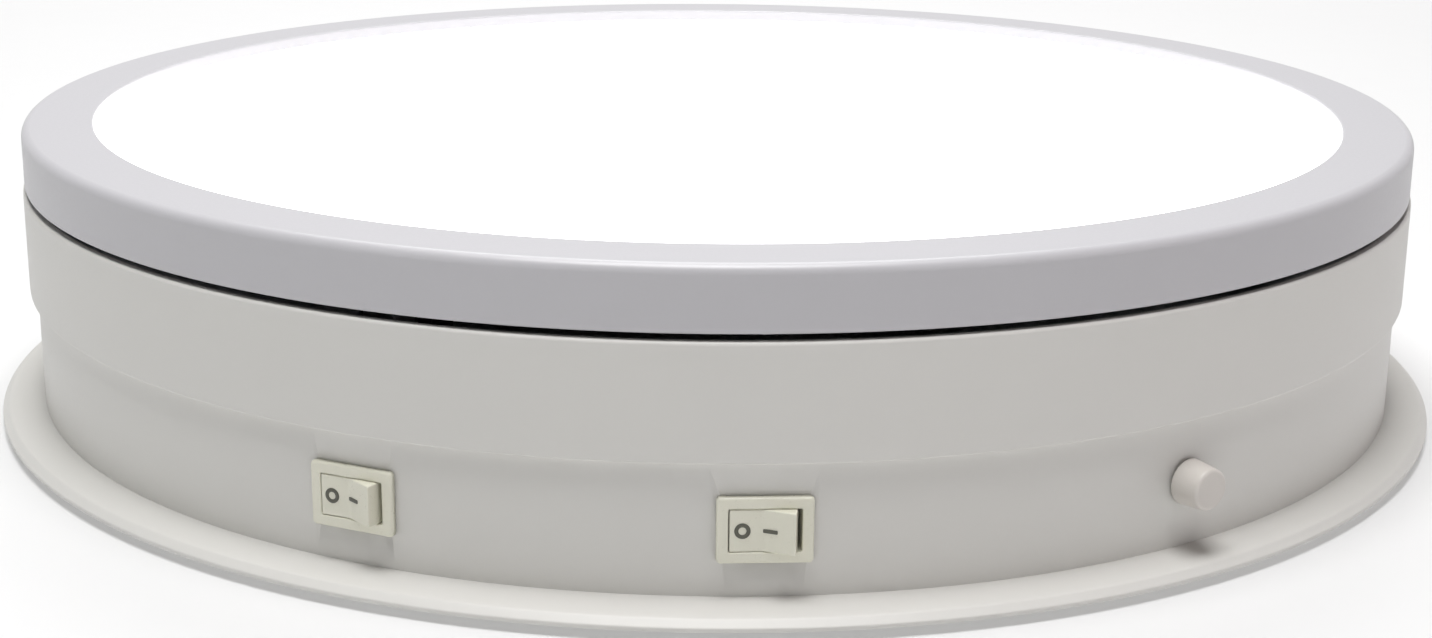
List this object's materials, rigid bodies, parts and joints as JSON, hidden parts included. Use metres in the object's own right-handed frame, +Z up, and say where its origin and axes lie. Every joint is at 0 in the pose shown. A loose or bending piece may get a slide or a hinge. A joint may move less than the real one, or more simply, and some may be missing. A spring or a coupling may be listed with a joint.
{
  "type": "turntable display stand",
  "caption": "Low round display stand with a motor-driven platform, a lit opal panel in a trim ring, rocker switches and a speed knob on a stepped base.",
  "frame": {"origin": "centre of the footprint, on the floor under the feet", "axes": "+Z up along the platform's turning axis, front (centre switch) along -Y, +X to the right seen from the front"},
  "size_m": [0.4016, 0.4016, 0.08],
  "materials": {
    "shell_white": "fine satin",
    "ring_grey": "satin",
    "opal_acrylic": "matt opal, lit from below",
    "switch_cream": "semi-gloss",
    "knob_white": "satin",
    "foot_rubber": "matt",
    "roller_rubber": "matt",
    "screw_steel": "zinc plated",
    "race_steel": "pressed steel",
    "ball_chrome": "polished",
    "deck_aluminium": "mill finish",
    "hub_aluminium": "turned",
    "brass": "turned",
    "cage_nylon": "moulded",
    "gear_acetal": "moulded",
    "black_plastic": "fine texture",
    "board_white": "solder mask",
    "board_green": "solder mask",
    "lamp_yellow": "phosphor",
    "chip_black": "moulded"
  },
  "bodies": {
    "base": {"base_shell": "shell_white", "deck_plate": "deck_aluminium", "base_plate": "shell_white", "rubber_feet": "foot_rubber", "foot_screws": "screw_steel", "foot_nuts": "brass", "bottom_screws": "screw_steel", "deck_screws": "screw_steel", "lower_race": "race_steel", "lower_race_screws": "screw_steel", "slip_ring_body": "black_plastic", "slip_ring_screws": "screw_steel", "gearbox_case": "race_steel", "motor_can": "race_steel", "motor_screws": "screw_steel", "roller_brackets": "race_steel", "roller_pins": "screw_steel", "roller_screws": "screw_steel", "left_switch_housing": "switch_cream", "left_switch_terminals": "brass", "centre_switch_housing": "switch_cream", "centre_switch_terminals": "brass", "potentiometer": "race_steel", "potentiometer_bracket": "race_steel", "power_inlet": "black_plastic", "inlet_pins": "brass", "lamp_driver_case": "black_plastic", "control_board": "board_green", "board_standoffs": "brass", "board_parts": "chip_black"},
    "platform": {"trim_ring": "ring_grey", "diffuser": "opal_acrylic", "reflector_pan": "hub_aluminium", "lamp_board": "board_white", "lamp_chips": "lamp_yellow", "back_plate": "deck_aluminium", "ring_screws": "screw_steel", "hub": "hub_aluminium", "hub_screws": "screw_steel", "driven_gear": "gear_acetal", "upper_race": "race_steel", "slip_ring_rotor": "brass"},
    "ball_ring": {"bearing_balls": "ball_chrome", "ball_cage": "cage_nylon"},
    "pinion": {"drive_pinion": "brass", "motor_shaft": "screw_steel"},
    "roller_1": {"roller_1": "roller_rubber"},
    "roller_2": {"roller_2": "roller_rubber"},
    "roller_3": {"roller_3": "roller_rubber"},
    "left_rocker": {"left_rocker": "switch_cream"},
    "centre_rocker": {"centre_rocker": "switch_cream"},
    "knob": {"speed_knob": "knob_white", "knob_shaft": "screw_steel"}
  },
  "joints": [
    {"name": "platform_spin", "type": "hinge", "parent": "base", "child": "platform", "pos_m": [0, 0, 0.06], "axis": [0, 0, 1], "continuous": true},
    {"name": "ball_ring_spin", "type": "hinge", "parent": "base", "child": "ball_ring", "pos_m": [0, 0, 0.048], "axis": [0, 0, 1], "continuous": true},
    {"name": "pinion_spin", "type": "hinge", "parent": "base", "child": "pinion", "pos_m": [0.042, 0.07275, 0.06], "axis": [0, 0, 1], "continuous": true},
    {"name": "roller_1_spin", "type": "hinge", "parent": "base", "child": "roller_1", "pos_m": [0.158, 0, 0.0551], "axis": [1, 0, 0], "continuous": true},
    {"name": "roller_2_spin", "type": "hinge", "parent": "base", "child": "roller_2", "pos_m": [-0.079, 0.13683, 0.0551], "axis": [-0.5, 0.866, 0], "continuous": true},
    {"name": "roller_3_spin", "type": "hinge", "parent": "base", "child": "roller_3", "pos_m": [-0.079, -0.13683, 0.0551], "axis": [-0.5, -0.866, 0], "continuous": true},
    {"name": "left_rocker_tilt", "type": "hinge", "parent": "base", "child": "left_rocker", "pos_m": [-0.08882, -0.16706, 0.0216], "axis": [0, 0, 1], "range_deg": [0, 24]},
    {"name": "centre_rocker_tilt", "type": "hinge", "parent": "base", "child": "centre_rocker", "pos_m": [0, -0.1892, 0.0216], "axis": [0, 0, 1], "range_deg": [0, 24]},
    {"name": "knob_turn", "type": "hinge", "parent": "base", "child": "knob", "pos_m": [0.09819, -0.16278, 0.0216], "axis": [0.5165, -0.8563, 0], "range_deg": [-150, 150]}
  ],
  "couplings": [
    {"joint": "ball_ring_spin", "follows": "platform_spin", "ratio": 0.5},
    {"joint": "pinion_spin", "follows": "platform_spin", "ratio": -6},
    {"joint": "roller_1_spin", "follows": "platform_spin", "ratio": -15.8},
    {"joint": "roller_2_spin", "follows": "platform_spin", "ratio": -15.8},
    {"joint": "roller_3_spin", "follows": "platform_spin", "ratio": -15.8}
  ]
}
